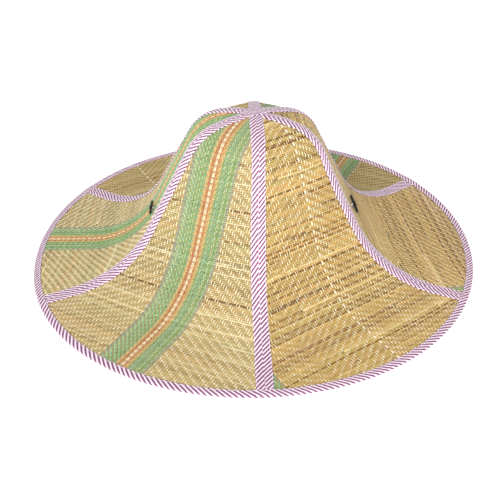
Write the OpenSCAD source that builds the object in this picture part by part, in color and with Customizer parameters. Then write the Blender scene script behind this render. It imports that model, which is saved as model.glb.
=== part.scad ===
// Folding sun hat: six woven mat gores, taped seams, a bound rim and a pair of chin-cord toggles.
// The frame has +Z up and its origin on the ground, under the apex. The wearer faces -Y.

/* [Outline] */
// Radius of the brim, to the outer edge of its binding
rim_r = 225; // [215:1:235]
// Radius, along a seam, inside which the brim starts to rise
brim_level_r = 196; // [190:1:202]
// Radius of the arc that flares the flank out into the brim
flare_r = 99; // [94:1:110]
// Slope of the straight flank above the horizontal, in degrees
flank_angle = 59; // [55:1:61]
// Radius of the arc that rounds the shoulder of the crown
shoulder_r = 49; // [40:1:54]
// Radius, along a seam, of the gently domed cap of the crown
cap_r = 42; // [38:1:48]
// Radius of the arc of that cap
cap_dome_r = 170; // [160:5:260]

/* [Mat] */
// Thickness of the woven mat
mat_t = 1.6; // [1.2:0.1:2]
// Clearance between a gore's cut edge and the seam plane
seam_gap = 0.15; // [0.1:0.05:0.4]

/* [Tapes] */
// Width of a seam tape
tape_w = 14; // [12:1:18]
// Thickness of a seam tape and of the rim binding
tape_t = 0.6; // [0.4:0.1:0.8]
// Thickness of the tape that lines a seam on the inside
lining_t = 0.5; // [0.3:0.1:0.5]
// Width of rim binding that shows on the brim
binding_w = 7; // [6:0.5:9]
// Width of a line of stitching
stitch_w = 0.5; // [0.4:0.1:0.8]
// Height of a line of stitching above its tape
stitch_t = 0.25; // [0.2:0.05:0.4]
// Distance of a line of stitching from the edge of its tape
stitch_inset = 0.9; // [0.8:0.1:1.5]

/* [Chin cord fittings] */
// Slope of the flare, along a seam, at the height of the eyelets, in degrees
eyelet_slope = 54; // [44:1:54]
// Bore radius of an eyelet
eyelet_bore_r = 1.6; // [1.5:0.1:1.8]
// Flange radius of an eyelet
eyelet_flange_r = 3.6; // [3.2:0.1:4]
// Thickness of an eyelet's flanges
eyelet_flange_t = 0.6; // [0.4:0.1:0.7]
// Length of a toggle's bar
bar_l = 25; // [20:1:28]
// Radius of a toggle's bar
bar_r = 1.2; // [1:0.1:1.3]
// Turn of the right toggle from level, at rest, in degrees
right_turn = 18; // [0:1:30]
// Turn of the left toggle from level, at rest, in degrees
left_turn = 0; // [-15:1:15]
// Bore radius of the hole that takes the end of the cord
cord_bore_r = 0.9; // [0.7:0.1:1]
// Depth of that hole
cord_bore_l = 4; // [3:0.5:5]

/* [Hidden] */

// Angles about +Z, from +X. Seams lie between gores.
GORE_ANGLE = [["front_left", 240], ["front_right", 300], ["right", 0], ["back_right", 60],
              ["back_left", 120], ["left", 180]];
LONG_SEAM_ANGLE = 30;
// A short seam's angle, and the side on which its neighbour is another short seam
FRONT_SEAM = [270, 1];
FRONT_RIGHT_SEAM = [330, -1];
BACK_SEAM = [90, 1];
BACK_LEFT_SEAM = [150, -1];

half_gore = 30;
flat_ratio = cos(half_gore);
binding_h = mat_t + 2*tape_t;
mat_z = binding_h/2;
half_tape = tape_w/2;
beyond = 1.2*rim_r;
flare_steps = 16;
shoulder_steps = 9;
cap_steps = 4;
small = 0.05;
$fn = 48;

straw = "khaki";
stripe = "plum";

// The outline along a seam is made of tangent arcs and lines. Each point is [radius, height, slope].
cap_slope = asin(cap_r/cap_dome_r);
shoulder_x = cap_r - shoulder_r*sin(cap_slope);
flare_rise = flare_r*(1 - cos(flank_angle));
flank_run = brim_level_r - flare_r*sin(flank_angle) - shoulder_x - shoulder_r*sin(flank_angle);
shoulder_z = flare_rise + flank_run*tan(flank_angle) - shoulder_r*cos(flank_angle);
cap_z = shoulder_z + (shoulder_r - cap_dome_r)*cos(cap_slope);

function flare_point(slope) =
    [brim_level_r - flare_r*sin(slope), flare_r*(1 - cos(slope)), slope];
function shoulder_point(slope) =
    [shoulder_x + shoulder_r*sin(slope), shoulder_z + shoulder_r*cos(slope), slope];
function cap_point(slope) = [cap_dome_r*sin(slope), cap_z + cap_dome_r*cos(slope), slope];

outline = concat(
    [[beyond, 0, 0]],
    [for (i = [0:flare_steps]) flare_point(flank_angle*i/flare_steps)],
    [for (i = [0:shoulder_steps])
        shoulder_point(flank_angle + (cap_slope - flank_angle)*i/shoulder_steps)],
    [for (i = [1:cap_steps]) cap_point(cap_slope*(1 - i/cap_steps))]);

// A gore is straight across, so along its middle the radii shrink by flat_ratio. depth is measured
// square to the mat from its middle surface.
function slant(slope) = norm([sin(slope), flat_ratio*cos(slope)]);
function gore_point(p, depth) =
    [flat_ratio*p[0] + depth*sin(p[2])/slant(p[2]),
     mat_z + p[1] + depth*flat_ratio*cos(p[2])/slant(p[2])];

// A layer of one gore between two depths, unbounded across, along +X
module gore_layer(low, high) {
    last = len(outline) - 1;
    rotate([90, 0, 0])
        linear_extrude(height = 2*beyond, center = true)
            polygon(concat(
                [for (i = [0:last]) gore_point(outline[i], high)],
                [for (i = [last:-1:0]) gore_point(outline[i], low)]));
}

// Keeps what lies over a plan outline
module over_plan() {
    intersection() {
        children(0);
        linear_extrude(height = rim_r) children(1);
    }
}

module wedge_plan(gap) {
    reach = beyond - gap/sin(half_gore);
    polygon([[gap/sin(half_gore), 0], [beyond, reach*tan(half_gore)],
             [beyond, -reach*tan(half_gore)]]);
}

module gore(angle) {
    color(straw)
        rotate([0, 0, angle])
            intersection() {
                over_plan() {
                    gore_layer(-mat_t/2, mat_t/2);
                    wedge_plan(seam_gap);
                }
                cylinder(r = rim_r - tape_t, h = rim_r);
            }
}

// A side gore has a hole for its eyelet
module side_gore(angle) {
    difference() {
        gore(angle);
        color(straw) rotate([0, 0, angle]) at_eyelet() eyelet_room();
    }
}

// Two layers that meet in the ridge of the seam along +X, each over its own side of a plan outline
module ridge_layer(low, high) {
    for (side = [-1, 1])
        intersection() {
            rotate([0, 0, side*half_gore]) gore_layer(low, high);
            linear_extrude(height = rim_r)
                intersection() {
                    children(0);
                    translate([0, side < 0 ? -rim_r : 0]) square([beyond, rim_r]);
                }
            cylinder(r = rim_r - binding_w, h = rim_r);
        }
}

// Plan of a tape that runs from the apex to the rim. It ends at the edge of the long tape, and
// meets the next short tape halfway between their seams. mate is the side of that neighbour.
module short_plan(width, mate) {
    root = width/(2*sin(2*half_gore));
    tip = width/(2*sin(2*half_gore)*(1 + tan(half_gore)/tan(2*half_gore)));
    side = mate*width/2;
    polygon([[width/(2*tan(half_gore)), -side], [tip, mate*tip*tan(half_gore)],
             [width/(2*tan(half_gore)), side], [beyond, side], [beyond, -side]]);
}

module tape_plan(width) {
    translate([0, -width/2]) square([beyond, width]);
}

module short_strip(seam, low, high) {
    rotate([0, 0, seam[0]])
        ridge_layer(low, high)
            short_plan(tape_w, seam[1]);
}

module long_strip(low, high) {
    for (angle = [LONG_SEAM_ANGLE, LONG_SEAM_ANGLE + 180])
        rotate([0, 0, angle])
            ridge_layer(low, high)
                tape_plan(tape_w);
}

module short_tape(seam) {
    color(stripe) short_strip(seam, mat_t/2, mat_t/2 + tape_t);
}

module short_lining(seam) {
    color(stripe) short_strip(seam, -mat_t/2 - lining_t, -mat_t/2);
}

module long_tape() {
    color(stripe) long_strip(mat_t/2, mat_t/2 + tape_t);
}

module long_lining() {
    color(stripe) long_strip(-mat_t/2 - lining_t, -mat_t/2);
}

// A pair of thread lines along the edges of each tape, on its outer face
module seam_stitching() {
    color("white")
        for (i = [0:5])
            rotate([0, 0, LONG_SEAM_ANGLE + 2*half_gore*i])
                ridge_layer(mat_t/2 + tape_t, mat_t/2 + tape_t + stitch_t)
                    stitch_plan();
}

module stitch_plan() {
    for (side = [-1, 1])
        translate([tape_w, side*(half_tape - stitch_inset) - stitch_w/2])
            square([rim_r - binding_w - tape_w - stitch_inset, stitch_w]);
}

// The binding is folded round the edge of the mat. Its foot is level and lies on the ground.
module rim_binding() {
    color(stripe)
        rotate_extrude($fn = 120)
            difference() {
                union() {
                    translate([rim_r - binding_w, 0]) square([binding_w - binding_h/2, binding_h]);
                    translate([rim_r - binding_h/2, binding_h/2]) circle(r = binding_h/2);
                }
                translate([rim_r - 2*binding_w, tape_t]) square([2*binding_w - tape_t, mat_t]);
            }
}

module rim_stitching() {
    color("white")
        rotate_extrude($fn = 120)
            translate([rim_r - binding_w + stitch_inset, binding_h]) square([stitch_w, stitch_t]);
}

// An eyelet sits on the middle line of a side gore, on the flare arc
eyelet_u = flat_ratio*flare_point(eyelet_slope)[0];
eyelet_tilt = atan2(sin(eyelet_slope), flat_ratio*cos(eyelet_slope));
stem_r = eyelet_bore_r - 0.1;
barrel_r = eyelet_bore_r + 0.7;
bar_z = mat_t/2 + eyelet_flange_t + 2;
boss_r = bar_r + 0.5;
boss_l = 5;
bead_r = eyelet_bore_r + 0.6;
bead_l = cord_bore_l + 0.4;
stem_end = -mat_t/2 - eyelet_flange_t - 0.4;

// Puts its children at an eyelet on the gore along +X, with +Z square to the mat and +Y level
module at_eyelet() {
    translate([eyelet_u, 0, mat_z + flare_point(eyelet_slope)[1]])
        rotate([0, eyelet_tilt, 0])
            children();
}

module side(name) {
    rotate([0, 0, name == "right" ? 0 : 180]) at_eyelet() children();
}

module eyelet_room() {
    cylinder(r = barrel_r, h = 4*mat_t, center = true);
    translate([0, 0, mat_t/2]) cylinder(r = eyelet_flange_r + small, h = mat_t);
    translate([0, 0, -1.5*mat_t]) cylinder(r = eyelet_flange_r + small, h = mat_t);
}

module eyelet() {
    reach = mat_t/2 + eyelet_flange_t;
    color("silver")
        difference() {
            union() {
                cylinder(r = barrel_r, h = 2*reach, center = true);
                for (z = [-reach, mat_t/2])
                    translate([0, 0, z]) cylinder(r = eyelet_flange_r, h = eyelet_flange_t);
            }
            cylinder(r = eyelet_bore_r, h = 4*reach, center = true);
        }
}

// A straight bar with rounded ends and a thicker boss in the middle
module toggle_bar(turn) {
    color("black")
        translate([0, 0, bar_z])
            rotate([90, 0, turn]) {
                cylinder(r = bar_r, h = bar_l - 2*bar_r, center = true);
                cylinder(r = boss_r, h = boss_l, center = true);
                for (end = [-1, 1])
                    translate([0, 0, end*(bar_l/2 - bar_r)]) sphere(r = bar_r);
            }
}

// The crimp that joins the bar to its cord: a stem through the eyelet and a bead inside the hat
module ferrule(turn) {
    color("lightgrey")
        difference() {
            union() {
                translate([0, 0, stem_end]) cylinder(r = stem_r, h = bar_z - stem_end);
                translate([0, 0, stem_end - bead_l]) cylinder(r = bead_r, h = bead_l);
            }
            toggle_bar(turn);
            translate([0, 0, stem_end - bead_l - small])
                cylinder(r = cord_bore_r, h = cord_bore_l + small);
        }
}

gore(GORE_ANGLE[0][1]);  // front_left_gore
gore(GORE_ANGLE[1][1]);  // front_right_gore
side_gore(GORE_ANGLE[2][1]);  // right_gore
gore(GORE_ANGLE[3][1]);  // back_right_gore
gore(GORE_ANGLE[4][1]);  // back_left_gore
side_gore(GORE_ANGLE[5][1]);  // left_gore
rim_binding();
rim_stitching();
long_tape();  // long_seam_tape
short_tape(FRONT_SEAM);  // front_seam_tape
short_tape(FRONT_RIGHT_SEAM);  // front_right_seam_tape
short_tape(BACK_SEAM);  // back_seam_tape
short_tape(BACK_LEFT_SEAM);  // back_left_seam_tape
long_lining();  // long_seam_lining
short_lining(FRONT_SEAM);  // front_seam_lining
short_lining(FRONT_RIGHT_SEAM);  // front_right_seam_lining
short_lining(BACK_SEAM);  // back_seam_lining
short_lining(BACK_LEFT_SEAM);  // back_left_seam_lining
seam_stitching();
side("left") eyelet();  // left_eyelet
side("right") eyelet();  // right_eyelet
side("left") toggle_bar(left_turn);  // left_toggle
side("right") toggle_bar(right_turn);  // right_toggle
side("left") ferrule(left_turn);  // left_ferrule
side("right") ferrule(right_turn);  // right_ferrule
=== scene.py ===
"""Looks of a folding sun hat: six woven reed gores, taped seams, a bound rim and two cord toggles.

Lengths are in millimetres until a mesh is made. Each gore is woven from real strands: straight
reeds across it, and warp threads that go over some reeds and under the next ones, as a twill.
The tapes, the rim binding and their stitches lie on the same surface as the gores.
"""
from collections import namedtuple

import bpy
import numpy as np
from mathutils import Matrix, Vector


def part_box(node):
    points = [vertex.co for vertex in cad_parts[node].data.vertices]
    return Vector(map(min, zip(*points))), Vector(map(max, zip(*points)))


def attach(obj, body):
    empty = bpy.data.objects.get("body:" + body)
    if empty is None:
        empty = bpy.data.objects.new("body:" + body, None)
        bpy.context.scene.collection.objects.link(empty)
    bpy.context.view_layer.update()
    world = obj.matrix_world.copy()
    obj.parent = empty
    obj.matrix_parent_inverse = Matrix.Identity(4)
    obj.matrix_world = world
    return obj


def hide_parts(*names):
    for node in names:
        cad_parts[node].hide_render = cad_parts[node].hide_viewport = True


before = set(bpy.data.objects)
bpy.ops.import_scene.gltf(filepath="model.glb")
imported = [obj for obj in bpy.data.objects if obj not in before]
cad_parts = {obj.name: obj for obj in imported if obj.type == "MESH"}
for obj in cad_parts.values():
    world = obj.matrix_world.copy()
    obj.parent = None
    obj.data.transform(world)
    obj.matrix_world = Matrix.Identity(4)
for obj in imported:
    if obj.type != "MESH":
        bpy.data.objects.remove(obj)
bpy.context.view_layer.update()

MM = 0.001
SEED = 11

# Outline along a seam, as in the CAD source: a level brim, a flare, a straight flank, a shoulder
# and a domed cap.
RIM_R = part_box("rim_binding")[1].x / MM
BRIM_LEVEL_R = 196.0
FLARE_R = 99.0
FLANK = np.radians(59.0)
SHOULDER_R = 49.0
CAP_R = 42.0
CAP_DOME_R = 170.0
MAT_T = 1.6
TAPE_T = 0.6
LINING_T = 0.5
TAPE_W = 14.0
BINDING_W = 7.0
MAT_Z = MAT_T / 2 + TAPE_T
SECTOR = 60
HALF_GORE = np.radians(30.0)
FLAT = np.cos(HALF_GORE)
CAP_POINTS = 30
SHOULDER_POINTS = 40
FLARE_POINTS = 80
BEYOND_RIM = 1.3

# Gores, and what each is cut from: the angle of its middle line, counter-clockwise from +X; where
# the coloured band and the cream line run, sideways from the middle line; the tint of its reeds,
# which is partly their own colour and partly painted light: painted shade on the back gores and a
# painted pale sheen on the left gore; how far their run changes for each millimetre across; the
# share of them that is dark, partly real dark reeds and partly painted shade in the gaps between
# reeds; the undyed yarns of its warp; and 1 or -1 for the way its twill climbs.
Gore = namedtuple("Gore", "angle band_at line_at tint skew dark_share undyed climb")
NO_LINE = 400.0
GORES = {
    "right": Gore(0, -115.5, NO_LINE, (0.96, 0.92, 0.88), -0.07, 0.20, ["straw", "cream"], -1),
    "back_right": Gore(60, -16.0, NO_LINE, (0.54, 0.54, 0.44), 0.03, 0.14, ["straw"], 1),
    "back_left": Gore(120, -87.5, 36.0, (0.71, 0.71, 0.69), -0.04, 0.12, ["straw"], 1),
    "left": Gore(180, -8.5, NO_LINE, (1.00, 1.12, 1.38), 0.02, 0.0, ["cream", "pale"], -1),
    "front_left": Gore(240, -5.4, NO_LINE, (0.87, 0.92, 1.02), -0.09, 0.012, ["cream", "pale"], 1),
    "front_right": Gore(300, -115.2, 8.3, (1.00, 0.96, 0.82), -0.035, 0.14,
                        ["cream", "straw", "pale"], 1),
}
SHORT_SEAMS = {"front": 270, "front_right": 330, "back": 90, "back_left": 150}
LONG_SEAM = 210

# Reeds. Each is a flattened strand that wanders a little as it crosses its gore.
REED_PITCH = 1.86
REED_W = 1.82
REED_H = 1.08
REED_SIDES = 8
REED_STEP = 7.0
REED_WANDER = 0.16
REED_WAVE = 9.0
# Warp threads. Each rests this far over or under the middle of the mat. The ones in the coloured
# band are closer together and narrower.
WARP_PITCH = 2.5
WARP_W = 1.05
WARP_T = 0.30
WARP_REST = 0.6
BAND_HALF = 21.5
BAND_WARPS = 18
BAND_WARP_PITCH = 1.22
BAND_WARP_W = 0.96
# Each warp thread goes over this many reeds, of this many.
TWILL = (2, 4)
BAND_TWILL = (2, 3)


def linear(red, green, blue):
    """A screen colour, 0 to 255, as linear light."""
    c = np.array([red, green, blue]) / 255
    return tuple(np.where(c <= 0.04045, c / 12.92, ((c + 0.055) / 1.055) ** 2.4))


# ---------------------------------------------------------------- the hat's surface

def seam_outline():
    """Radius, height and slope along a seam, from the apex out past the rim."""
    cap_slope = np.arcsin(CAP_R / CAP_DOME_R)
    shoulder_x = CAP_R - SHOULDER_R * np.sin(cap_slope)
    run = BRIM_LEVEL_R - FLARE_R * np.sin(FLANK) - shoulder_x - SHOULDER_R * np.sin(FLANK)
    shoulder_z = FLARE_R * (1 - np.cos(FLANK)) + run * np.tan(FLANK) - SHOULDER_R * np.cos(FLANK)
    cap_z = shoulder_z + (SHOULDER_R - CAP_DOME_R) * np.cos(cap_slope)
    a = np.linspace(0, cap_slope, CAP_POINTS)
    cap = np.c_[CAP_DOME_R * np.sin(a), cap_z + CAP_DOME_R * np.cos(a), a]
    a = np.linspace(cap_slope, FLANK, SHOULDER_POINTS)[1:]
    shoulder = np.c_[shoulder_x + SHOULDER_R * np.sin(a), shoulder_z + SHOULDER_R * np.cos(a), a]
    a = np.linspace(FLANK, 0, FLARE_POINTS)
    flare = np.c_[BRIM_LEVEL_R - FLARE_R * np.sin(a), FLARE_R * (1 - np.cos(a)), a]
    return np.vstack([cap, shoulder, flare, [BEYOND_RIM * RIM_R, 0, 0]])


OUTLINE = seam_outline()
HEIGHT = OUTLINE[0, 1]
GORE_X = FLAT * OUTLINE[:, 0]
GORE_RUN = np.r_[0, np.cumsum(np.hypot(np.diff(GORE_X), np.diff(OUTLINE[:, 1])))]
SEAM_RUN = np.r_[0, np.cumsum(np.hypot(np.diff(OUTLINE[:, 0]), np.diff(OUTLINE[:, 1])))]

# How this one hat has settled: the apex leans, seams are turned a few degrees off their even
# spacing, by one amount on the crown and another on the brim, and the brim lifts off the ground
# and is pulled out of round by a few millimetres.
APEX_LEAN = (2.3, 2.4)
LEAN_POWER = 3
SEAM_TURN = {30: (0.4, 0.4), 90: (0.0, 0.0), 150: (-0.4, -0.4), 210: (-4.6, -4.0), 270: (2.0, 0.7),
             330: (5.4, 1.6)}
CROWN_TURN_R = 45
CROWN_TURN_FADE = 55
BRIM_LIFT = ((1.1, 2.2), (-1.0, 1.1), (0.2, 1.2))
BRIM_PULL = ((0.0, 0.0), (-2.5, 0.9), (0.8, -0.4))
BRIM_POWER = 5
RIDGE_ROUND = 6.0


def waves(angle, terms):
    """A sum of cosines and sines of 1, 2 and 3 times the angle."""
    return sum(c * np.cos(n * angle) + s * np.sin(n * angle) for n, (c, s) in enumerate(terms, 1))


LOWEST_LIFT = waves(np.linspace(0, 2 * np.pi, 181), BRIM_LIFT).min()


def smooth_step(t):
    t = np.clip(t, 0, 1)
    return t * t * (3 - 2 * t)


def seam_turn(angle, radius):
    """How far the settled hat is turned, in radians: all of it at a seam, and none midway. Each
    seam has one turn on the crown and another on the brim."""
    degrees = np.degrees(angle) % 360
    seam = SECTOR * np.floor(degrees / SECTOR) + SECTOR / 2
    off = np.abs(degrees - seam) / (SECTOR / 2)
    at_seam = [seam == s for s in SEAM_TURN]
    crown = np.select(at_seam, [turn[0] for turn in SEAM_TURN.values()], 0.0)
    brim = np.select(at_seam, [turn[1] for turn in SEAM_TURN.values()], 0.0)
    outward = smooth_step((radius - CROWN_TURN_R) / CROWN_TURN_FADE)
    return np.radians(crown + (brim - crown) * outward) * smooth_step(1 - off)


def round_ridges(x, y, z):
    """Lowers what is near a seam, where the mats bend over instead of meeting at a sharp ridge."""
    radius, angle = np.hypot(x, y), np.arctan2(y, x)
    seam = np.radians(SECTOR * np.floor(np.degrees(angle) / SECTOR) + SECTOR / 2)
    slope = np.interp(radius * np.cos(angle - seam), OUTLINE[:, 0], OUTLINE[:, 2])
    near = np.clip(RIDGE_ROUND - np.abs(radius * np.sin(angle - seam)), 0, None)
    drop = np.sin(slope) * np.tan(HALF_GORE) * near**2 / (2 * RIDGE_ROUND)
    inwards = drop * np.sin(slope)
    return x - inwards * np.cos(seam), y - inwards * np.sin(seam), z - drop * np.cos(slope)


def settle(points):
    """Moves ideal points to where they lie on the settled hat."""
    x, y, z = round_ridges(*np.moveaxis(np.asarray(points, float), -1, 0))
    radius, angle = np.hypot(x, y), np.arctan2(y, x)
    edge = (radius / RIM_R) ** BRIM_POWER
    z2 = z + edge * (waves(angle, BRIM_LIFT) - LOWEST_LIFT)
    radius2 = radius + edge * waves(angle, BRIM_PULL)
    angle2 = angle + seam_turn(angle, radius)
    lean = np.clip(z / HEIGHT, 0, 1) ** LEAN_POWER
    return np.stack([radius2 * np.cos(angle2) + APEX_LEAN[0] * lean,
                     radius2 * np.sin(angle2) + APEX_LEAN[1] * lean, z2], -1)


def on_gore(angle, run, across, depth):
    """Points of a gore: run is measured down its middle line from the apex, across is level and
    counter-clockwise, and depth is square to the mat, outwards from its middle surface."""
    x = np.interp(run, GORE_RUN, GORE_X)
    z = np.interp(run, GORE_RUN, OUTLINE[:, 1])
    slope = np.interp(run, GORE_RUN, OUTLINE[:, 2])
    out, up = np.sin(slope), FLAT * np.cos(slope)
    size = np.hypot(out, up)
    x = x + depth * out / size
    z = MAT_Z + z + depth * up / size
    a = np.radians(angle)
    return np.stack([x * np.cos(a) - across * np.sin(a), x * np.sin(a) + across * np.cos(a), z], -1)


def on_hat(x, y, depth):
    """Points of the whole hat over plan points, on whichever gore is there."""
    middle = SECTOR * np.round(np.degrees(np.arctan2(y, x)) / SECTOR)
    a = np.radians(middle)
    run = np.interp(x * np.cos(a) + y * np.sin(a), GORE_X, GORE_RUN)
    return on_gore(middle, run, y * np.cos(a) - x * np.sin(a), depth)


# ---------------------------------------------------------------- meshes

class Shape:
    """Collects rings of vertices into closed strands, then makes one mesh object of them."""

    def __init__(self):
        self.points, self.faces, self.uvs, self.tones, self.slots = [], [], [], [], []
        self.count = 0

    def strand(self, rings, uv=None, tone=0.0, slot=0):
        """rings is rows x ring x 3. Rows are joined in turn, and the ends are capped."""
        rows, ring = rings.shape[:2]
        index = np.arange(rows * ring).reshape(rows, ring) + self.count
        beside = np.roll(index, -1, axis=1)
        quads = np.stack([index[:-1], beside[:-1], beside[1:], index[1:]], -1).reshape(-1, 4)
        fan = np.array([[0, k, k + 1, k + 2] for k in range(1, ring - 2, 2)])
        faces = np.vstack([quads, index[0][fan[:, ::-1]], index[-1][fan]])
        self.points.append(rings.reshape(-1, 3))
        self.faces.append(faces)
        self.uvs.append(np.zeros((rows * ring, 2)) if uv is None else uv.reshape(-1, 2))
        self.tones.append(np.full(rows * ring, tone))
        self.slots.append(np.full(len(faces), slot))
        self.count += rows * ring

    def make(self, name, materials):
        mesh = bpy.data.meshes.new(name)
        faces = np.vstack(self.faces)
        mesh.from_pydata((np.vstack(self.points) * MM).tolist(), [], faces.tolist())
        uv = mesh.uv_layers.new(name="Millimetres")
        uv.data.foreach_set("uv", np.vstack(self.uvs)[faces.ravel()].astype(np.float32).ravel())
        tone = mesh.attributes.new("tone", "FLOAT", "POINT")
        tone.data.foreach_set("value", np.concatenate(self.tones).astype(np.float32))
        for material in materials:
            mesh.materials.append(material)
        mesh.polygons.foreach_set("material_index", np.concatenate(self.slots).astype(np.int32))
        mesh.polygons.foreach_set("use_smooth", np.full(len(faces), True))
        mesh.update()
        piece = bpy.data.objects.new(name, mesh)
        bpy.context.scene.collection.objects.link(piece)
        return piece


# ---------------------------------------------------------------- materials

class Nodes:
    """A material's node tree, with short ways to add what the materials below share."""

    def __init__(self, name, roughness=0.6):
        self.material = bpy.data.materials.new(name)
        self.material.use_nodes = True
        self.tree = self.material.node_tree
        self.shader = self.tree.nodes["Principled BSDF"]
        self.shader.inputs["Roughness"].default_value = roughness

    def add(self, kind, **inputs):
        node = self.tree.nodes.new("ShaderNode" + kind)
        for key, value in inputs.items():
            self.put(node.inputs[key.replace("_", " ")], value)
        return node

    def put(self, socket, value):
        if isinstance(value, bpy.types.NodeSocket):
            self.tree.links.new(value, socket)
        else:
            socket.default_value = value

    def maths(self, operation, *values):
        node = self.tree.nodes.new("ShaderNodeMath")
        node.operation = operation
        for socket, value in zip(node.inputs, values):
            self.put(socket, value)
        return node.outputs[0]

    def ramp(self, fac, stops):
        node = self.tree.nodes.new("ShaderNodeValToRGB")
        while len(node.color_ramp.elements) < len(stops):
            node.color_ramp.elements.new(1.0)
        for element, (at, colour) in zip(node.color_ramp.elements, stops):
            element.position = at
            element.color = (*colour, 1)
        self.put(node.inputs["Fac"], fac)
        return node.outputs["Color"]

    def mix(self, fac, first, second, blend="MIX"):
        node = self.tree.nodes.new("ShaderNodeMix")
        node.data_type = "RGBA"
        node.blend_type = blend
        self.put(node.inputs[0], fac)
        for socket, value in ((node.inputs[6], first), (node.inputs[7], second)):
            self.put(socket, value if isinstance(value, bpy.types.NodeSocket) else (*value, 1))
        return node.outputs[2]

    def noise(self, vector, scale, detail):
        return self.add("TexNoise", Vector=vector, Scale=scale, Detail=detail).outputs["Fac"]

    def stretched(self, vector, scales):
        node = self.add("Mapping", Vector=vector)
        node.inputs["Scale"].default_value = scales
        return node.outputs["Vector"]

    def bump(self, height, distance, strength):
        node = self.add("Bump", Height=height, Distance=distance, Strength=strength)
        self.put(self.shader.inputs["Normal"], node.outputs["Normal"])

    def sheen(self, weight, roughness):
        self.shader.inputs["Sheen Weight"].default_value = weight
        self.shader.inputs["Sheen Roughness"].default_value = roughness


def grey(value):
    """The same share of red, green and blue."""
    return (value,) * 3


# Colours of the reeds by their tone, from dark ones to bleached ones. The darkest tones are partly
# painted shade, standing for the gaps between reeds.
REED_TONES = (
    (0.00, linear(134, 92, 44)),
    (0.10, linear(160, 120, 62)),
    (0.30, linear(182, 152, 94)),
    (0.45, linear(198, 170, 110)),
    (0.55, linear(188, 168, 104)),
    (0.66, linear(206, 166, 104)),
    (0.80, linear(212, 186, 126)),
    (0.92, linear(220, 196, 138)),
    (1.00, linear(232, 214, 160)),
)
# Tint of the reeds in the coloured band, by distance from its middle as a share of its reach.
BAND_REACH = 30.0
BAND_TINTS = (
    (0.000, linear(214, 180, 132)),
    (0.040, linear(208, 168, 118)),
    (0.070, linear(184, 124, 74)),
    (0.120, linear(186, 130, 78)),
    (0.180, linear(196, 164, 102)),
    (0.240, linear(120, 138, 70)),
    (0.640, linear(120, 138, 70)),
    (0.670, linear(152, 150, 112)),
)
BAND_TINT_SHARE = 0.50
# Noise on a reed: how fine it is along the reed and across it, per millimetre.
STREAKS = (0.06, 3.0, 1.0)
STREAK_SHADES = ((0.3, grey(0.72)), (0.7, grey(1.14)))
STAINS = (0.12, 0.5, 1.0)
STAIN_SHARES = ((0.60, grey(0.0)), (0.74, grey(0.7)))
STAIN_COLOUR = linear(150, 112, 62)
GRAIN = (0.25, 9.0, 1.0)


def reed_material(name, tint):
    """Dried reed: each has its own tone, with streaks and stains along it and a fine grain."""
    n = Nodes(name)
    tone = n.add("Attribute")
    tone.attribute_name = "tone"
    uv = n.add("UVMap").outputs["UV"]
    colour = n.ramp(tone.outputs["Fac"], REED_TONES)
    streaks = n.noise(n.stretched(uv, STREAKS), 1.0, 3.0)
    colour = n.mix(1.0, colour, n.ramp(streaks, STREAK_SHADES), "MULTIPLY")
    stains = n.noise(n.stretched(uv, STAINS), 1.0, 2.0)
    colour = n.mix(n.ramp(stains, STAIN_SHARES), colour, STAIN_COLOUR)
    off = n.maths("ABSOLUTE", n.add("SeparateXYZ", Vector=uv).outputs["X"])
    in_band = n.maths("MULTIPLY", n.maths("LESS_THAN", off, BAND_HALF), BAND_TINT_SHARE)
    colour = n.mix(in_band, colour, n.ramp(n.maths("DIVIDE", off, BAND_REACH), BAND_TINTS))
    # The gore's tint multiplies the colour. It is partly the reeds' own colour and partly painted
    # light: painted shade on the back gores and a painted pale sheen on the left gore.
    n.put(n.shader.inputs["Base Color"], n.mix(1.0, colour, tint, "MULTIPLY"))
    grain = n.noise(n.stretched(uv, GRAIN), 1.0, 2.0)
    n.put(n.shader.inputs["Roughness"], n.maths("MULTIPLY_ADD", grain, 0.35, 0.42))
    n.sheen(0.1, 0.35)
    n.bump(grain, 0.00012, 0.6)
    return n.material


# Yarns of the warp. "line" runs down the middle of the band, and "white" is the line outside it.
WARP_COLOURS = {
    "cream": (231, 212, 164), "straw": (214, 190, 138), "pale": (240, 226, 188),
    "white": (246, 234, 208), "line": (240, 220, 184), "green": (114, 168, 98),
    "light_green": (174, 204, 156), "teal": (122, 176, 138), "tan": (214, 184, 114),
    "orange": (214, 150, 80), "rust": (190, 108, 54), "slate": (146, 156, 138),
}
WARP_SLOTS = list(WARP_COLOURS)


def warp_materials():
    """Cotton warp threads, one plain-dyed material for each colour of yarn."""
    made = []
    for name, colour in WARP_COLOURS.items():
        n = Nodes("warp_" + name, 0.72)
        n.shader.inputs["Base Color"].default_value = (*linear(*colour), 1)
        n.sheen(0.3, 0.35)
        made.append(n.material)
    return made


# Stripes: how far apart they are along the tape, how much further they move along than across,
# how much of the tape is ink, how soft their edges are, and how much they waver along the tape.
STRIPE_PITCH = 4.8
STRIPE_LEAN = 1.25
STRIPE_SHARE = 0.52
STRIPE_SOFT = 0.05
STRIPE_WAVER = 0.6
TAPE_WEAVE = 9.0


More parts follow.
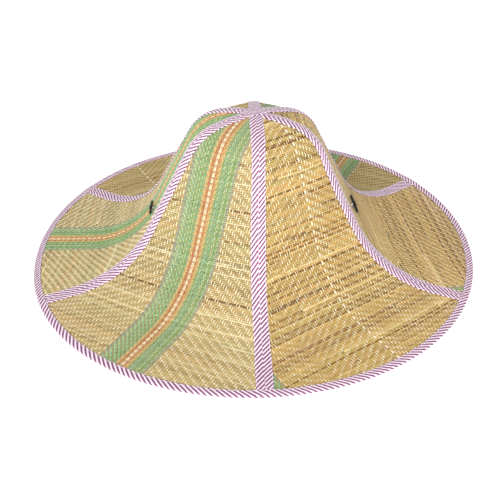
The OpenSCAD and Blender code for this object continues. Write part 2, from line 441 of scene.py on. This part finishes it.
def tape_material(name):
    """Printed bias tape: thin slanting plum stripes on pinkish white, on a fine plain weave."""
    n = Nodes(name, 0.8)
    uv = n.add("UVMap").outputs["UV"]
    split = n.add("SeparateXYZ", Vector=uv)
    along, over = split.outputs["X"], split.outputs["Y"]
    slanted = n.maths("MULTIPLY_ADD", over, STRIPE_LEAN, along)
    wavy = n.maths("MULTIPLY_ADD", n.noise(uv, 0.35, 1.0), STRIPE_WAVER, slanted)
    place = n.maths("FRACT", n.maths("DIVIDE", wavy, STRIPE_PITCH))
    from_middle = n.maths("ABSOLUTE", n.maths("SUBTRACT", place, 0.5))
    half = STRIPE_SHARE / 2
    ink = n.ramp(from_middle, ((half - STRIPE_SOFT, grey(1.0)), (half + STRIPE_SOFT, grey(0.0))))
    worn = n.noise(uv, 0.8, 3.0)
    plum = n.mix(worn, linear(98, 40, 84), linear(140, 76, 120))
    white = n.mix(worn, linear(248, 231, 242), linear(239, 216, 231))
    n.put(n.shader.inputs["Base Color"], n.mix(ink, white, plum))
    weave = n.maths("ADD", n.maths("SINE", n.maths("MULTIPLY", along, TAPE_WEAVE)),
                    n.maths("SINE", n.maths("MULTIPLY", over, TAPE_WEAVE)))
    n.bump(weave, 0.00004, 0.5)
    n.sheen(0.3, 0.5)
    return n.material


def thread_material():
    """Pale sewing thread."""
    n = Nodes("stitch_thread", 0.55)
    position = n.add("TexCoord").outputs["Object"]
    shade = n.noise(position, 900.0, 2.0)
    colour = n.mix(shade, linear(250, 244, 248), linear(226, 214, 224))
    n.put(n.shader.inputs["Base Color"], colour)
    n.bump(n.noise(position, 2600.0, 1.0), 0.00005, 0.6)
    return n.material


def eyelet_material():
    """Plain metal, worn dull in places."""
    n = Nodes("eyelet_metal", 0.3)
    n.shader.inputs["Metallic"].default_value = 1.0
    position = n.add("TexCoord").outputs["Object"]
    worn = n.noise(position, 700.0, 4.0)
    colour = n.mix(worn, linear(222, 222, 220), linear(176, 174, 170))
    n.put(n.shader.inputs["Base Color"], colour)
    n.put(n.shader.inputs["Roughness"], n.maths("MULTIPLY_ADD", worn, 0.3, 0.18))
    n.bump(n.noise(position, 2400.0, 2.0), 0.00003, 0.4)
    return n.material


def toggle_material():
    """Black moulded plastic, scuffed along the bar."""
    n = Nodes("toggle_plastic", 0.35)
    position = n.add("TexCoord").outputs["Object"]
    scuffs = n.noise(n.stretched(position, (400.0, 1500.0, 400.0)), 1.0, 4.0)
    n.put(n.shader.inputs["Base Color"], n.mix(scuffs, linear(14, 14, 14), linear(34, 33, 32)))
    n.put(n.shader.inputs["Roughness"], n.maths("MULTIPLY_ADD", scuffs, 0.35, 0.2))
    n.bump(scuffs, 0.00003, 0.3)
    return n.material


def ferrule_material():
    """Light grey plastic, slightly clouded."""
    n = Nodes("ferrule_plastic", 0.45)
    position = n.add("TexCoord").outputs["Object"]
    clouds = n.noise(position, 500.0, 3.0)
    colour = n.mix(clouds, linear(232, 232, 226), linear(204, 204, 198))
    n.put(n.shader.inputs["Base Color"], colour)
    n.put(n.shader.inputs["Roughness"], n.maths("MULTIPLY_ADD", clouds, 0.3, 0.3))
    n.bump(clouds, 0.00003, 0.3)
    return n.material


# ---------------------------------------------------------------- woven gores

# Strands stop inside the binding's fold, and just short of the seams.
EDGE_R = RIM_R - TAPE_T - 0.8
SEAM_CLEAR = 0.3


def gore_half_width(run):
    """Half the width of a gore at a distance down its middle line: out to the seams or the rim."""
    x = np.interp(run, GORE_RUN, GORE_X)
    to_rim = np.sqrt(np.clip(EDGE_R**2 - x**2, 0, None))
    return np.minimum(x * np.tan(HALF_GORE) - SEAM_CLEAR, to_rim)


GORE_LENGTH = np.interp(EDGE_R, GORE_X, GORE_RUN)
WIDEST = 130.0
SPAN_STEP = 0.25
SPARE_ROWS = 8
ROWS = np.arange(-SPARE_ROWS, int(GORE_LENGTH / REED_PITCH) + SPARE_ROWS)
SHORTEST_REED = 2.4


def reed_span(run, skew):
    """Where a reed enters and leaves its gore, across it, or nothing if it misses the gore."""
    across = np.arange(-WIDEST, WIDEST, SPAN_STEP)
    inside = across[np.abs(across) < gore_half_width(run + skew * across)]
    return (inside[0], inside[-1]) if len(inside) * SPAN_STEP > SHORTEST_REED else None


def reed_rings(angle, run, start, end, width, height, skew):
    """One reed from start to end across a gore: rings of a flattened round section."""
    steps = max(2, int((end - start) / REED_STEP) + 1)
    across = np.linspace(start, end, steps)[:, None]
    around = -np.arange(REED_SIDES) * 2 * np.pi / REED_SIDES
    bent = REED_WANDER * np.sin(across / REED_WAVE + 7 * run)
    runs = run + bent + skew * across + width / 2 * np.cos(around)[None]
    depths = height / 2 * np.sin(around)[None] + 0 * across
    return settle(on_gore(angle, runs, across + 0 * runs, depths))


# Each side gore has a hole for its eyelet, on its middle line. Strands stop this far from the
# hole's middle, measured to the middle of the strand, so their ends lie under the flanges.
EYELET_GORES = (0, 180)
EYELET_X = sum(corner.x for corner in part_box("right_eyelet")) / 2 / MM
EYELET_RUN = np.interp(EYELET_X, GORE_X, GORE_RUN)
HOLE_R = 3.5
SHORTEST_PART = 0.5


def beside_hole(start, end, hole_at, away, angle):
    """The parts of a strand from start to end that are clear of its gore's hole. The hole's middle
    is at hole_at along the strand and this far away to its side."""
    if angle not in EYELET_GORES or abs(away) >= HOLE_R:
        return [(start, end)]
    half = np.sqrt(HOLE_R**2 - away**2)
    parts = ((start, min(end, hole_at - half)), (max(start, hole_at + half), end))
    return [(first, last) for first, last in parts if last - first > SHORTEST_PART]


# Dark reeds are partly real dark reeds and partly painted shade: they stand for the shadowed gaps
# between reeds.
DARK_AND_GAP_SHADE_TONES = (0.0, 0.16)
DARK_AND_GAP_SHADE_THIN = 0.80
STRAW_TONES = (0.26, 0.84)
BLEACHED_TONES = (0.93, 1.0)
BLEACHED_SHARE = 0.05
WIDTHS = [0.70, 0.84, 0.95, 1.0, 1.02]
WIDTH_SHARES = [0.08, 0.14, 0.24, 0.3, 0.24]
HEIGHTS = (0.86, 1.06)
LONG_ROW = 40
TWO_REED_SHARE = 0.45
MEETING_SHARES = (0.1, 0.9)
REED_GAP = 0.2


def woven_reeds(name, gore, material, random):
    """The reeds of one gore. Some rows are two reeds end to end, widths vary a little, and dark
    reeds, which are partly real dark reeds and partly painted shade for the gaps between reeds, are
    thinner."""
    shape = Shape()
    around = np.cos(np.arange(REED_SIDES) * 2 * np.pi / REED_SIDES)
    for row in ROWS:
        run = (row + 0.5) * REED_PITCH
        width = REED_W * random.choice(WIDTHS, p=WIDTH_SHARES)
        span = reed_span(run, gore.skew)
        if span is None:
            continue
        ends = list(span)
        if span[1] - span[0] > LONG_ROW and random.random() < TWO_REED_SHARE:
            meeting = random.uniform(*MEETING_SHARES)
            ends.insert(1, span[0] + (span[1] - span[0]) * meeting)
        for start, end in zip(ends, ends[1:]):
            height = REED_H * random.uniform(*HEIGHTS)
            tone = reed_tone(gore.dark_share, random)
            thickness = width * (DARK_AND_GAP_SHADE_THIN if tone < DARK_AND_GAP_SHADE_TONES[1] else 1)
            away = run - EYELET_RUN
            for first, last in beside_hole(start, end - REED_GAP, 0, away, gore.angle):
                rings = reed_rings(gore.angle, run, first, last, thickness, height, gore.skew)
                across = np.linspace(first, last, len(rings))[:, None] - gore.band_at
                beside = run + width / 4 * around[None]
                uv = np.stack([across + 0 * beside, beside + 0 * across], -1)
                shape.strand(rings, uv, tone)
    return shape.make(name, [material])


def reed_tone(dark_share, random):
    """Most reeds are straw-coloured, with some orange, olive or bleached ones, and some dark ones
    that are partly real dark reeds and partly painted shade for the gaps between reeds.
    """
    kind = random.random()
    if kind < dark_share:
        return random.uniform(*DARK_AND_GAP_SHADE_TONES)
    if kind > 1 - BLEACHED_SHARE:
        return random.uniform(*BLEACHED_TONES)
    return random.uniform(*STRAW_TONES)


# Distances between columns of warp: from the middle of the band to the first ones in it, from its
# edge to the first ones outside it, and from the line to its own two and to the nearest others.
FIRST_WARP = 0.55
BAND_EDGE_GAP = 1.7
LINE_WARP = 0.5
LINE_CLEAR = 1.9


def warp_places(gore):
    """Places of the warp columns across a gore: close together in the band and wider apart beyond
    it, with a pair in the middle of the band and another for the cream line."""
    inner = FIRST_WARP + BAND_WARP_PITCH * np.arange(BAND_WARPS)
    outer = BAND_HALF + BAND_EDGE_GAP + WARP_PITCH * np.arange(100)
    off = np.r_[inner, outer]
    places = np.r_[gore.band_at - off, gore.band_at + off]
    places = places[np.abs(places - gore.line_at) > LINE_CLEAR]
    places = np.r_[places, gore.line_at - LINE_WARP, gore.line_at + LINE_WARP]
    return np.sort(places[np.abs(places) < WIDEST])


# How far each colour reaches from the middle of the band. The first also holds for the line.
PAIR_REACH = 1.2
ORANGE_REACH = 3.6
TAN_REACH = 6.4
GREEN_REACH = 19.4
PALE_REACH = BAND_HALF + 2


def warp_colour(off_band, off_line, undyed, random):
    """The yarn of a column, by its distance from the middle of the band and from the line."""
    if off_line < PAIR_REACH:
        return "white"
    if off_band < PAIR_REACH:
        return "line"
    if off_band < ORANGE_REACH:
        return random.choice(["orange", "rust"])
    if off_band < TAN_REACH:
        return random.choice(["tan", "orange"], p=[0.8, 0.2])
    if off_band < GREEN_REACH:
        return random.choice(["green", "light_green", "teal"], p=[0.4, 0.4, 0.2])
    if off_band < BAND_HALF:
        return "slate"
    if off_band < PALE_REACH:
        return "pale"
    return random.choice(undyed)


def floats_over(rows, off_band, off_line, climb):
    """Which of the reeds a column goes over. Outside the band the floats climb towards the nearer
    of its middle and the line, from both sides, and in the band they climb away from its middle,
    so the twill makes a herringbone."""
    if off_band < BAND_HALF:
        shift = -round((off_band - FIRST_WARP) / BAND_WARP_PITCH)
        floats, repeat = BAND_TWILL
    else:
        shift = round(min(off_band, off_line) / WARP_PITCH)
        floats, repeat = TWILL
    return (rows - climb * shift) % repeat < floats


# A thread stays at its depth for this far either side of a reed's middle. Threads vary in width,
# stand a little aside of their place, and waver along it.
LEVEL_HALF = 0.52
WARP_WIDTHS = (0.88, 1.08)
LINE_WARP_W = 0.85
WARP_ASIDE = 0.12
WARP_WAVER = 0.15
WARP_WAVE = 9


def woven_warp(name, gore, materials, random):
    """The warp threads of one gore. Each goes over some reeds, then under the next ones."""
    shape = Shape()
    for place in warp_places(gore):
        middles = (ROWS + 0.5) * REED_PITCH + gore.skew * place
        inside = np.flatnonzero(gore_half_width(middles) > abs(place) + WARP_W / 2)
        if len(inside) < 3:
            continue
        rows, middles = ROWS[inside], middles[inside]
        off_band, off_line = abs(place - gore.band_at), abs(place - gore.line_at)
        yarn = warp_colour(off_band, off_line, gore.undyed, random)
        width = BAND_WARP_W if off_band < BAND_HALF else WARP_W
        width *= LINE_WARP_W if off_line < PAIR_REACH else random.uniform(*WARP_WIDTHS)
        runs = np.stack([middles - LEVEL_HALF, middles + LEVEL_HALF], -1).ravel()
        over = floats_over(rows, off_band, off_line, gore.climb)
        depth = np.repeat(np.where(over, WARP_REST, -WARP_REST), 2)
        aside = place + random.uniform(-WARP_ASIDE, WARP_ASIDE)
        ring = np.array([(-width / 2, 0), (0, WARP_T / 2), (width / 2, 0), (0, -WARP_T / 2)])
        for first, last in beside_hole(runs[0], runs[-1], EYELET_RUN, place, gore.angle):
            part = np.r_[first, runs[(runs > first) & (runs < last)], last]
            middle = WARP_WAVER * np.sin(part / WARP_WAVE + place) + aside
            sides = middle[:, None] + ring[None, :, 0]
            depths = np.interp(part, runs, depth)[:, None] + ring[None, :, 1]
            rings = settle(on_gore(gore.angle, part[:, None] + 0 * sides, sides, depths))
            shape.strand(rings[:, ::-1], slot=WARP_SLOTS.index(yarn))
    return shape.make(name, materials)


def make_gores():
    threads = warp_materials()
    random = np.random.default_rng(SEED)
    for name, gore in GORES.items():
        dried = reed_material("reed_" + name, gore.tint)
        reeds = woven_reeds(name + "_gore_reeds", gore, dried, random)
        warp = woven_warp(name + "_gore_warp", gore, threads, random)
        for piece in (reeds, warp):
            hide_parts(name + "_gore")
            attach(piece, "hat")


# ---------------------------------------------------------------- tapes

# A tape's section: distance from its middle, and height above the mat for its upper side. The
# edges are turned under, the stitches pull it down, and a pressed fold runs along the middle.
TAPE_SECTION = ((-1.0, 0.10), (-0.975, 0.50), (-0.93, 0.62), (-0.88, 0.42), (-0.80, 0.58),
                (-0.55, 0.60), (-0.25, 0.60), (-0.10, 0.60), (-0.004, 0.48), (0.004, 0.48),
                (0.10, 0.60), (0.25, 0.60), (0.55, 0.60), (0.80, 0.58), (0.88, 0.42), (0.93, 0.62),
                (0.975, 0.50), (1.0, 0.10))
CROWN_TURN_UNDER = 0.12
CROWN_RUN = 115.0
TAPE_VARIES = 0.05
TAPE_WAVE = 19
# This near to a seam, a tape passes over from one gore to the next. The stripes on its two sides
# are stretched by different amounts, so they don't meet at the fold.
FOLD_REACH = 0.05
FOLD_STRETCH = (0.97, 1.08)
# Stitches lie at this share of the half width, and pull the tape down around them.
STITCH_AT = 0.88
STITCH_PULL_REACH = 0.12
STITCH_PITCH = 3.6
STITCH_L = 2.7
STITCH_W = 0.55
PUCKER = 0.10
TAPE_REST = 0.02
ROW_STEP = 0.9
TAPE_END_R = RIM_R - 3.5
# The long tape is lifted over the ends of the short ones, which start near the apex.
CROSS_CLEAR = 12.0
CROSS_FADE = 5.0
SHORT_START = 3.0
# Up to this radius a tape lies on the hat as one surface. Then it comes to follow the two gores
# beside it.
CAP_LIE_R = 22
CAP_LIE_FADE = 18


def half_tape(angle, run, side):
    """Half of a tape's width on one side of the seam. It varies a little along the tape, and is
    less on the crown, where the edges are turned under further to round the shoulder."""
    turned_under = CROWN_TURN_UNDER * smooth_step((CROWN_RUN - np.abs(run)) / (CROWN_RUN / 2))
    varied = TAPE_VARIES * np.sin(run / TAPE_WAVE + angle * side + side)
    return TAPE_W / 2 * (1 - turned_under + varied)


def seam_points(angle, radius, off, depth):
    """Points beside a seam. radius is signed: past the apex it is on the far side. off is square
    to the seam on the mat, counter-clockwise, and depth is square to the mat."""
    a = np.radians(angle)
    plan = (radius * np.cos(a) - off * np.sin(a), radius * np.sin(a) + off * np.cos(a))
    on_cap = on_hat(*plan, depth)
    angle, off = np.where(radius < 0, angle - 180, angle), np.where(radius < 0, -off, off)
    radius = np.abs(radius)
    run = np.interp(radius, OUTLINE[:, 0], GORE_RUN)
    slope = np.interp(radius, OUTLINE[:, 0], OUTLINE[:, 2])
    splay = np.arctan(np.sin(HALF_GORE) / np.hypot(FLAT, np.tan(slope)))
    inwards = np.abs(off) * np.cos(splay)
    runs = run + np.abs(off) * np.sin(splay)
    across = radius * np.sin(HALF_GORE) - inwards
    before = on_gore(angle - SECTOR / 2, runs, across, depth)
    after = on_gore(angle + SECTOR / 2, runs, -across, depth)
    at_fold = 0.5 + np.sign(depth) * off / (2 * FOLD_REACH)
    share = np.where(np.abs(off) > FOLD_REACH, off > 0, at_fold)[..., None]
    on_sides = before + (after - before) * share
    share = smooth_step((radius - CAP_LIE_R) / CAP_LIE_FADE)[..., None]
    return on_cap + (on_sides - on_cap) * share


def tape(name, angle, radii, base, thick, outward, material, lift=None, clip=False):
    """A strip of bias tape along a seam. radii are signed: past the apex they are on the far side.
    base is the depth of its inner face, and outward is 1 on the outside or -1 on the inside."""
    shape = Shape()
    section = np.array(TAPE_SECTION)
    part = section[None, :, 0]
    run = np.sign(radii) * np.interp(np.abs(radii), OUTLINE[:, 0], SEAM_RUN)
    off = part * half_tape(angle, run[:, None], np.sign(part))
    if clip:
        limit = np.abs(radii)[:, None] * np.tan(HALF_GORE)
        off = np.clip(off, -limit, limit)
    lift = np.zeros(len(radii)) if lift is None else lift
    pucker = PUCKER * np.cos(2 * np.pi * run / STITCH_PITCH)[:, None] * pull(part)
    along = radii[:, None] + 0 * off
    top = base + outward * (section[None, :, 1] * thick / TAPE_T + pucker + lift[:, None])
    bottom = base + outward * (TAPE_REST + lift[:, None]) + 0 * top
    upper = seam_points(angle, along, off, top)
    lower = seam_points(angle, along, off, bottom)
    rings = settle(np.concatenate([upper, lower[:, ::-1]], 1))
    stretch = np.where(part < 0, *FOLD_STRETCH)
    uv = np.stack([run[:, None] * stretch, off], -1)
    uv = np.concatenate([uv, uv[:, ::-1]], 1)
    if outward < 0:
        rings, uv = rings[:, ::-1], uv[:, ::-1]
    shape.strand(rings[:, ::-1], uv[:, ::-1])
    return shape.make(name, [material])


def pull(offset):
    """How strongly the stitches pull at an offset across the tape, from 0 to 1."""
    return np.exp(-(((np.abs(offset) - STITCH_AT) / STITCH_PULL_REACH) ** 2))


def seam_radii(start):
    """Radii along a seam at even steps of its true length, from start out to the tape's end."""
    first, last = np.interp([start, TAPE_END_R], OUTLINE[:, 0], SEAM_RUN)
    return np.interp(np.arange(first, last, ROW_STEP), SEAM_RUN, OUTLINE[:, 0])


def long_tape_lift(radius):
    """How far the long tape is lifted over the ends of the short ones."""
    return TAPE_T * smooth_step((CROSS_CLEAR + CROSS_FADE - radius) / CROSS_FADE)


def make_tapes(material):
    out = seam_radii(0.0)
    long_radii = np.r_[-out[:0:-1], out]
    raised = long_tape_lift(np.abs(long_radii))
    layers = (("tape", MAT_T / 2, TAPE_T, 1), ("lining", -MAT_T / 2, LINING_T, -1))
    for kind, base, thick, outward in layers:
        node = "long_seam_" + kind
        strip = tape(node + "_strip", LONG_SEAM, long_radii, base, thick, outward, material, raised)
        finish_tape(strip, node)
        for seam, angle in SHORT_SEAMS.items():
            node = seam + "_seam_" + kind
            radii = seam_radii(SHORT_START)
            strip = tape(node + "_strip", angle, radii, base, thick, outward, material, clip=True)
            finish_tape(strip, node)


def finish_tape(strip, node):
    """Hides the CAD node that the strip stands for, and attaches the strip to the hat."""
    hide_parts(node)
    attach(strip, "hat")


# The rim binding starts under the mat, goes out round the edge and comes back over the top. The
# shares are places across its level parts, from the inner edge to the fold. The heights are of its
# top there, from the mat's with two tapes: the edge is turned under and stitches pull it down.
FOLD_R = MAT_Z
FOLD_POINTS = 9
RIM_ROWS = 720
LEVEL_SHARES = np.array([1.0, 0.97, 0.92, 0.86, 0.8, 0.6, 0.4, 0.2, 0.0])
LEVEL_HEIGHTS = np.array([-0.35, -0.02, 0.06, -0.14, 0.04, 0.05, 0.05, 0.04, 0.0])
RIM_PUCKER = 0.08
# Where it crosses a seam tape, the binding is lifted by this share of a tape's thickness. It rises
# over so many degrees on either side.
OVER_TAPE = 0.8
OVER_TAPE_RISE = 0.9


def binding_section():
    """Outer and inner sides of the folded tape, as radii and heights, and the distance along it."""
    turn = np.linspace(-np.pi / 2, np.pi / 2, FOLD_POINTS)
    level = LEVEL_SHARES * (BINDING_W - FOLD_R)
    centre = RIM_R - FOLD_R
    foot = np.c_[centre - level, 0 * level]
    edge = np.c_[centre + FOLD_R * np.cos(turn), MAT_Z + FOLD_R * np.sin(turn)]
    top_z = 2 * MAT_Z + LEVEL_HEIGHTS
    top = np.c_[centre - level[::-1], top_z[::-1]]
    outer = np.vstack([foot, edge[1:-1], top])
    inner_r = FOLD_R - TAPE_T
    inner = np.vstack([np.c_[centre - level, 0 * level + TAPE_T],
                       np.c_[centre + inner_r * np.cos(turn), MAT_Z + inner_r * np.sin(turn)][1:-1],
                       np.c_[centre - level[::-1], 0 * level + 2 * MAT_Z - TAPE_T]])
    length = np.r_[0, np.cumsum(np.hypot(*np.diff(outer, axis=0).T))]
    return outer, inner, length


def over_seams(angle):
    """1 where the binding crosses a seam tape and 0 between, for angles in degrees."""
    off = np.abs((angle % SECTOR) - SECTOR / 2)
    half = np.degrees(TAPE_W / 2 / RIM_R)
    return smooth_step((half + OVER_TAPE_RISE - off) / OVER_TAPE_RISE)


def make_binding(material):
    outer, inner, length = binding_section()
    angle = np.arange(RIM_ROWS) * 360 / RIM_ROWS
    on_top = smooth_step((outer[:, 1] - MAT_Z) / MAT_Z)
    lift = TAPE_T * OVER_TAPE * over_seams(angle)[:, None] * on_top[None]
    around = np.radians(angle)[:, None]
    pucker = RIM_PUCKER * np.cos(around * RIM_R / STITCH_PITCH * 2 * np.pi) * on_top[None]

    def ring(section, up):
        return np.stack([section[None, :, 0] * np.cos(around), section[None, :, 0] * np.sin(around),
                         section[None, :, 1] + up], -1)

    rings = np.concatenate([ring(outer, lift + pucker), ring(inner, lift)[:, ::-1]], 1)
    uv = np.stack([around * RIM_R + 0 * length[None], length[None] + 0 * around], -1)
    uv = np.concatenate([uv, uv[:, ::-1]], 1)
    rings = np.concatenate([rings, rings[:1]])
    uv = np.concatenate([uv, uv[:1] + [2 * np.pi * RIM_R, 0]])
    shape = Shape()
    shape.strand(settle(rings)[:, ::-1], uv[:, ::-1])
    strip = shape.make("rim_binding_strip", [material])
    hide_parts("rim_binding")
    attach(strip, "hat")


# ---------------------------------------------------------------- stitches

# Along a stitch: the place, as a share of its length, its size there, and how high it stands.
STITCH_PROFILE = ((-0.5, 0.35, -0.25), (-0.28, 0.9, 0.10), (0.0, 1.0, 0.16), (0.28, 0.9, 0.10),
                  (0.5, 0.35, -0.25))
STITCH_FLAT = 0.8
STITCH_ABOVE = 0.45
LONG_STITCH_START = 2.0
SHORT_STITCH_START = 16.0
RIM_STITCH_INSET = 1.1
RIM_STITCH_SINK = 0.1


def stitch(shape, middle, ahead, side, up):
    """One stitch: a plump dash that dives into the tape at both ends."""
    rings = []
    for at, size, rise in STITCH_PROFILE:
        centre = middle + ahead * at * STITCH_L + up * rise
        half = STITCH_W / 2 * size
        rings.append([centre - side * half, centre + up * half * STITCH_FLAT, centre + side * half,
                      centre - up * half * STITCH_FLAT])
    shape.strand(np.array(rings))


def stitch_line(shape, path, square):
    """Stitches along a path of points, spaced evenly, standing square to the surface."""
    steps = np.linalg.norm(np.diff(path, axis=0), axis=1)
    run = np.r_[0, np.cumsum(steps)]

    def value(points, at):
        return np.array([np.interp(at, run, points[:, k]) for k in range(3)])

    for at in np.arange(STITCH_PITCH, run[-1] - STITCH_PITCH, STITCH_PITCH):
        before, middle, after = value(path, at - 1), value(path, at), value(path, at + 1)
        up = value(square, at)
        ahead = (after - before) / np.linalg.norm(after - before)
        up = up / np.linalg.norm(up)
        stitch(shape, middle, ahead, np.cross(ahead, up), up)


def seam_stitches(shape, angle, start, lift):
    """Two lines of stitches, one beside each edge of a tape. lift is how far the tape is raised."""
    radii = seam_radii(start)
    run = np.interp(radii, OUTLINE[:, 0], SEAM_RUN)
    for side in (-1, 1):
        off = side * STITCH_AT * half_tape(angle, run, side)
        base = MAT_T / 2 + STITCH_ABOVE + lift(radii)
        path = settle(seam_points(angle, radii, off, base))
        stitch_line(shape, path, settle(seam_points(angle, radii, off, base + 1)) - path)


def make_stitches(material):
    def level(radii):
        return 0 * radii

    shape = Shape()
    for angle in (LONG_SEAM, LONG_SEAM - 180):
        seam_stitches(shape, angle, LONG_STITCH_START, long_tape_lift)
    for angle in SHORT_SEAMS.values():
        seam_stitches(shape, angle, SHORT_STITCH_START, level)
    seams = shape.make("seam_stitches", [material])
    shape = Shape()
    angle = np.linspace(0, 360, 2 * RIM_ROWS + 1)
    around = np.radians(angle)
    radius = RIM_R - BINDING_W + RIM_STITCH_INSET
    height = 2 * MAT_Z - RIM_STITCH_SINK + TAPE_T * OVER_TAPE * over_seams(angle)
    path = settle(np.stack([radius * np.cos(around), radius * np.sin(around), height], -1))
    stitch_line(shape, path, np.tile([0, 0, 1.0], (len(path), 1)))
    rim = shape.make("rim_stitches", [material])
    for piece, node in ((seams, "seam_stitching"), (rim, "rim_stitching")):
        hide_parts(node)
        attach(piece, "hat")


# ---------------------------------------------------------------- eyelets and toggles

def dress(node, material):
    """Gives a CAD node a new material."""
    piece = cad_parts[node]
    piece.data.materials.clear()
    piece.data.materials.append(material)


def make_fittings():
    eyelet, toggle, ferrule = eyelet_material(), toggle_material(), ferrule_material()
    for side in ("left", "right"):
        dress(side + "_eyelet", eyelet)
        dress(side + "_toggle", toggle)
        dress(side + "_ferrule", ferrule)


# ---------------------------------------------------------------- studio

CAMERA_AT = (-0.0195, -0.6037, 0.3958)
CAMERA_LENS = 49.4
CAMERA_SENSOR = 36.0
# Degrees: how far it looks to the right of +Y, down from level, and how far it is rolled.
CAMERA_RIGHT = 1.55
CAMERA_DOWN = 33.94
CAMERA_ROLL = -0.2


def make_camera():
    data = bpy.data.cameras.new("camera")
    data.lens = CAMERA_LENS
    data.sensor_width = CAMERA_SENSOR
    camera = bpy.data.objects.new("camera", data)
    bpy.context.scene.collection.objects.link(camera)
    pan = Matrix.Rotation(np.radians(-CAMERA_RIGHT), 4, "Z")
    tilt = Matrix.Rotation(np.radians(90 - CAMERA_DOWN), 4, "X")
    roll = Matrix.Rotation(np.radians(CAMERA_ROLL), 4, "Z")
    camera.matrix_world = Matrix.Translation(Vector(CAMERA_AT)) @ (pan @ tilt) @ roll
    bpy.context.scene.camera = camera


def area_light(name, place, target, size, power):
    data = bpy.data.lights.new(name, "AREA")
    data.size = size
    data.energy = power
    light = bpy.data.objects.new(name, data)
    light.location = place
    light.rotation_euler = (Vector(target) - Vector(place)).to_track_quat("-Z", "Y").to_euler()
    bpy.context.scene.collection.objects.link(light)


FLOOR_GLOW = 0.62
GLOW_FROM = 0.205
GLOW_FULL = 0.235
FLOOR_REACH = 6.0
WORLD_LIGHT = 0.34
KEY_AT = (-0.28, -1.62, 1.27)
KEY_TARGET = (0, 0, 0.05)
KEY_SIZE = 1.0
KEY_POWER = 53


def floor_material():
    """A white table, lit from within outside the hat's rim, so that it stays white."""
    n = Nodes("floor", 0.9)
    n.shader.inputs["Base Color"].default_value = (0.9, 0.9, 0.9, 1)
    n.shader.inputs["Emission Color"].default_value = (1, 1, 1, 1)
    split = n.add("SeparateXYZ", Vector=n.add("NewGeometry").outputs["Position"])
    squared = n.maths("ADD", n.maths("POWER", split.outputs["X"], 2.0),
                      n.maths("POWER", split.outputs["Y"], 2.0))
    radius = n.maths("SQRT", squared)
    share = n.maths("DIVIDE", n.maths("SUBTRACT", radius, GLOW_FROM), GLOW_FULL - GLOW_FROM)
    glow = n.ramp(share, ((0.0, grey(0.0)), (1.0, grey(FLOOR_GLOW))))
    n.put(n.shader.inputs["Emission Strength"], glow)
    return n.material


def make_studio():
    mesh = bpy.data.meshes.new("floor")
    signs = ((-1, -1), (1, -1), (1, 1), (-1, 1))
    mesh.from_pydata([(x * FLOOR_REACH, y * FLOOR_REACH, 0) for x, y in signs], [], [(0, 1, 2, 3)])
    floor = bpy.data.objects.new("floor", mesh)
    bpy.context.scene.collection.objects.link(floor)
    mesh.materials.append(floor_material())
    world = bpy.data.worlds.new("world")
    world.use_nodes = True
    background = world.node_tree.nodes["Background"]
    background.inputs["Color"].default_value = (1, 1, 1, 1)
    background.inputs["Strength"].default_value = WORLD_LIGHT
    bpy.context.scene.world = world
    area_light("key", KEY_AT, KEY_TARGET, KEY_SIZE, KEY_POWER)
    bpy.context.scene.view_settings.view_transform = "Standard"


make_camera()
make_studio()
make_gores()
bias_tape = tape_material("bias_tape_print")
make_tapes(bias_tape)
make_binding(bias_tape)
make_stitches(thread_material())
make_fittings()
